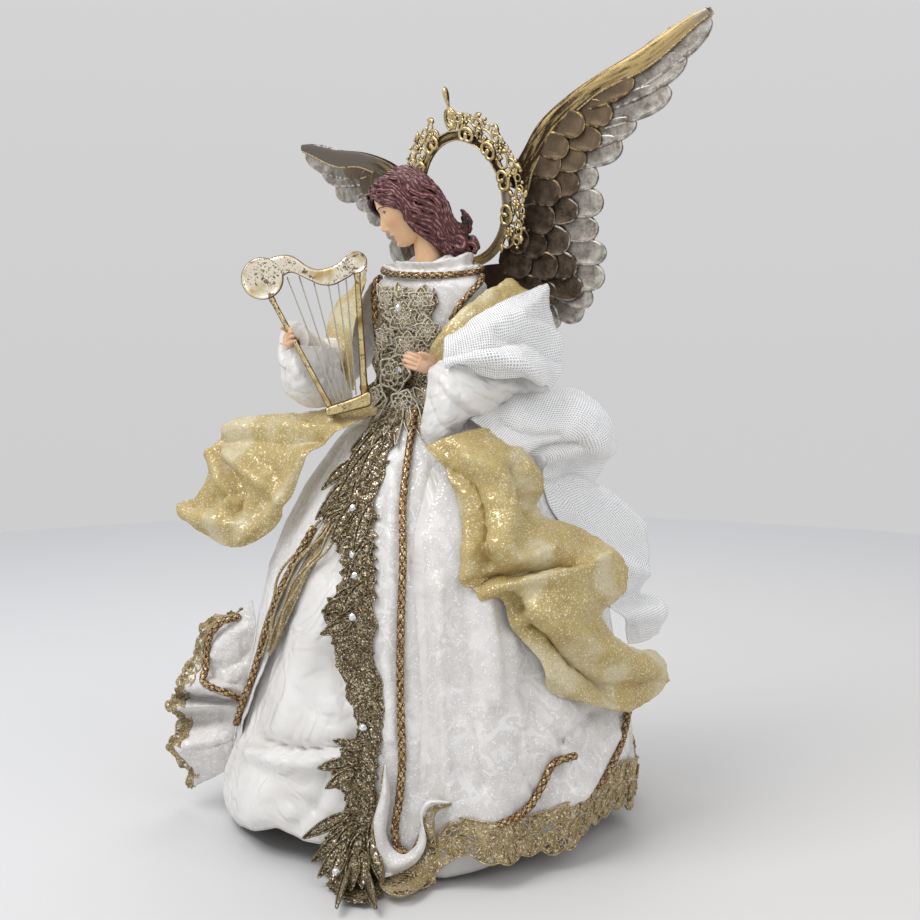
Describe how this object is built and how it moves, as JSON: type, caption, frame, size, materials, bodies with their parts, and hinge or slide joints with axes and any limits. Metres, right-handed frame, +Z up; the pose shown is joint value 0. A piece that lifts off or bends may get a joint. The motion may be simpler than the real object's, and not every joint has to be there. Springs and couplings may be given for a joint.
{
  "type": "angel figurine",
  "caption": "Cloth-dressed angel figurine with a harp, gathered robe, trailing scarf and gauze, and a lift-out metal wing and halo unit on its back.",
  "frame": {"origin": "centre of the felt pad's underside, where the figurine stands", "axes": "+Z up; the angel faces -Y; +X is towards the angel's left hand, the side nearest the camera in the picture"},
  "size_m": [0.3151, 0.2538, 0.4354],
  "materials": {
    "felt": "matte black-brown felt",
    "wood": "plain sealed wood",
    "card": "plain grey-brown card",
    "core": "off-white moulded core",
    "satin": "pearly white satin, soft sheen",
    "brocade": "white-silver glitter brocade",
    "bodice": "pinkish-white brocade",
    "gauze": "white open-weave gauze",
    "scarf": "gold glitter mesh over a pale ground",
    "cord": "twisted bronze-gold braid",
    "lace": "gold-brown glitter lace",
    "skin": "painted resin, satin, with auburn hair",
    "crystal": "clear faceted rhinestone",
    "wing": "antique pewter-bronze, rubbed gold and silver rims",
    "halo": "antique gold filigree",
    "gold": "gold leaf, speckled dark",
    "wire": "bright drawn wire",
    "socket": "off-white moulded plastic"
  },
  "bodies": {
    "angel": {"felt_pad": "felt", "base_board": "wood", "spine_dowel": "wood", "skirt_cone": "card", "under_skirt": "satin", "over_robe": "brocade", "torso_core": "core", "bodice": "bodice", "head": "skin", "collar": "satin", "harp_neck": "gold", "harp_base": "gold", "harp_pillar": "gold", "harp_column": "gold", "hand_left": "skin", "hand_right": "skin", "arm_wire_left": "wire", "arm_wire_right": "wire", "sleeve_left": "satin", "sleeve_right": "satin", "neckline_cord": "cord", "shoulder_cord_left": "cord", "shoulder_cord_right": "cord", "bodice_lace": "lace", "front_lace": "lace", "opening_lace": "lace", "front_cord": "cord", "opening_cord": "cord", "hem_lace": "lace", "hem_cord": "cord", "side_cord": "cord", "frill": "brocade", "frill_cord": "cord", "waist_flower": "lace", "scarf_left": "scarf", "scarf_right": "scarf", "scarf_shoulder_left": "scarf", "scarf_shoulder_right": "scarf", "gauze_shawl": "gauze", "gauze_train": "gauze", "wing_socket": "socket", "harp_string_1": "wire", "harp_string_2": "wire", "harp_string_3": "wire", "harp_string_4": "wire", "harp_string_5": "wire", "harp_string_6": "wire", "crystal_1": "crystal", "crystal_2": "crystal", "crystal_3": "crystal", "crystal_4": "crystal", "crystal_5": "crystal", "crystal_6": "crystal", "crystal_7": "crystal", "crystal_8": "crystal"},
    "wing_unit": {"wing_bridge": "wing", "wing_left": "wing", "wing_right": "wing", "halo": "halo", "halo_finial": "halo"}
  },
  "joints": [
    {"name": "wing_unit_lift", "type": "slide", "parent": "angel", "child": "wing_unit", "axis": [-0.1549, -0.1392, 0.9781], "range_m": [0, 0.025]}
  ]
}
